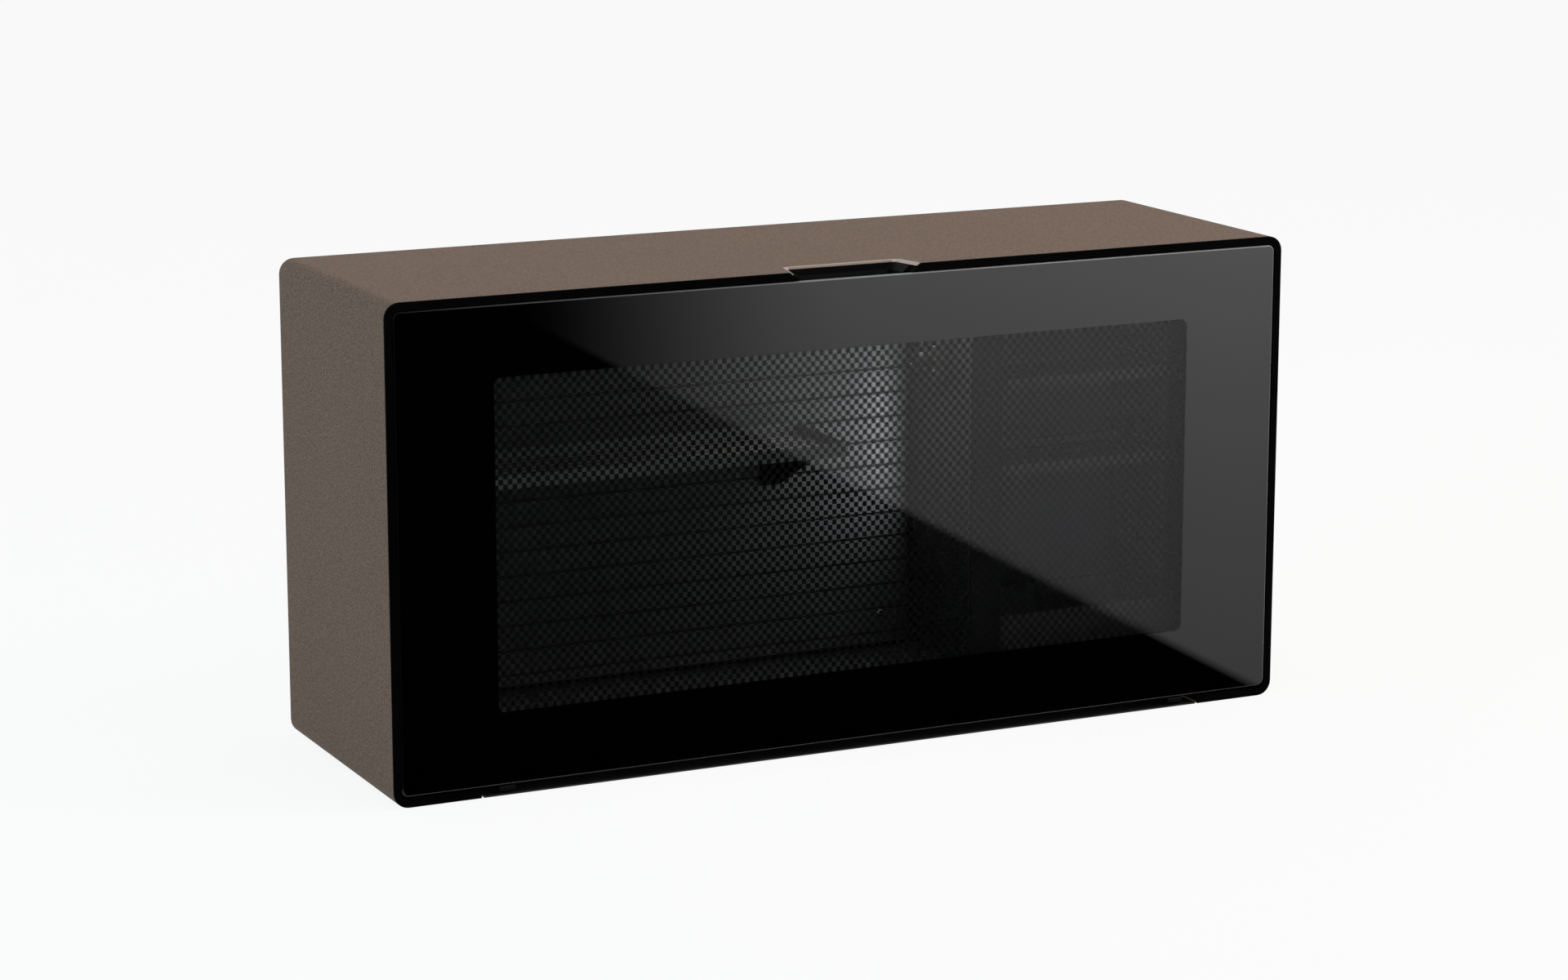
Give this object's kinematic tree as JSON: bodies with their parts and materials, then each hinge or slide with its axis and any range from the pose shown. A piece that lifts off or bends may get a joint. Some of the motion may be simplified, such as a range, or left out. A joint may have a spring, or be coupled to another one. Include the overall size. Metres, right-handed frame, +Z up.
{
  "type": "glass door minibar fridge",
  "caption": "Wide wall-hung minibar fridge with a drop-down glass door, chequered window, shelf, trays and a thermoelectric cooler.",
  "frame": {"origin": "middle of the casing's underside, halfway between front and back", "axes": "+X along the width, to the right as seen from the front; +Y from the door to the back; +Z up"},
  "size_m": [0.905, 0.277, 0.45],
  "materials": {
    "powder_coat": "fine-textured taupe powder coat on steel sheet",
    "black_plastic": "satin black moulded ABS",
    "liner_plastic": "dark grey vacuum-formed ABS",
    "panel_plastic": "grey moulded ABS",
    "foam": "rigid polyurethane foam",
    "front_glass": "black-printed toughened glass with a chequered window",
    "clear_glass": "clear toughened glass",
    "aluminium": "extruded aluminium",
    "zinc_steel": "zinc-plated steel sheet",
    "rubber": "black rubber",
    "lens": "frosted acrylic",
    "ceramic": "white alumina"
  },
  "bodies": {
    "cabinet": {"outer_casing": "powder_coat", "front_frame": "black_plastic", "bottom_strip": "black_plastic", "handle_scoop": "black_plastic", "recess_trim": "aluminium", "insulation_foam": "foam", "cabin_liner": "liner_plastic", "column_liner": "liner_plastic", "back_slat_panel": "panel_plastic", "cabin_shelf": "black_plastic", "shelf_bracket": "zinc_steel", "top_tray": "black_plastic", "middle_tray": "black_plastic", "bottom_bin": "black_plastic", "light_housing": "black_plastic", "light_lens": "lens", "thermostat_housing": "black_plastic", "cold_sink": "aluminium", "thermo_module": "ceramic", "hot_sink": "aluminium", "hot_fan_frame": "black_plastic", "cold_fan_frame": "black_plastic", "rear_panel": "zinc_steel", "power_supply": "zinc_steel", "control_box": "black_plastic", "power_inlet": "black_plastic", "wall_rail": "zinc_steel", "wall_buffer_left": "rubber", "wall_buffer_right": "rubber", "hinge_bracket_left": "zinc_steel", "hinge_bracket_right": "zinc_steel", "catch_magnet_left": "rubber", "catch_magnet_right": "rubber"},
    "door": {"door_glass": "front_glass", "door_frame": "black_plastic", "door_pull": "black_plastic", "door_inner_glass": "clear_glass", "door_spacer": "aluminium", "door_gasket": "rubber", "hinge_clevis_left": "zinc_steel", "hinge_clevis_right": "zinc_steel", "hinge_pin_left": "zinc_steel", "hinge_pin_right": "zinc_steel", "catch_striker_left": "zinc_steel", "catch_striker_right": "zinc_steel"},
    "hot_fan": {"hot_fan_rotor": "black_plastic"},
    "cold_fan": {"cold_fan_rotor": "black_plastic"},
    "thermostat_knob": {"thermostat_knob": "black_plastic"}
  },
  "joints": [
    {"name": "door_hinge", "type": "hinge", "parent": "cabinet", "child": "door", "pos_m": [0, -0.1355, 0.0062], "axis": [1, 0, 0], "range_deg": [0, 90]},
    {"name": "hot_fan_spin", "type": "hinge", "parent": "cabinet", "child": "hot_fan", "pos_m": [-0.13, 0.11, 0.24], "axis": [0, 1, 0], "continuous": true},
    {"name": "cold_fan_spin", "type": "hinge", "parent": "cabinet", "child": "cold_fan", "pos_m": [0.02989, 0.032, 0.24], "axis": [0, 1, 0], "continuous": true},
    {"name": "thermostat_turn", "type": "hinge", "parent": "cabinet", "child": "thermostat_knob", "pos_m": [0.1199, -0.05, 0.345], "axis": [1, 0, 0], "range_deg": [0, 270]}
  ]
}
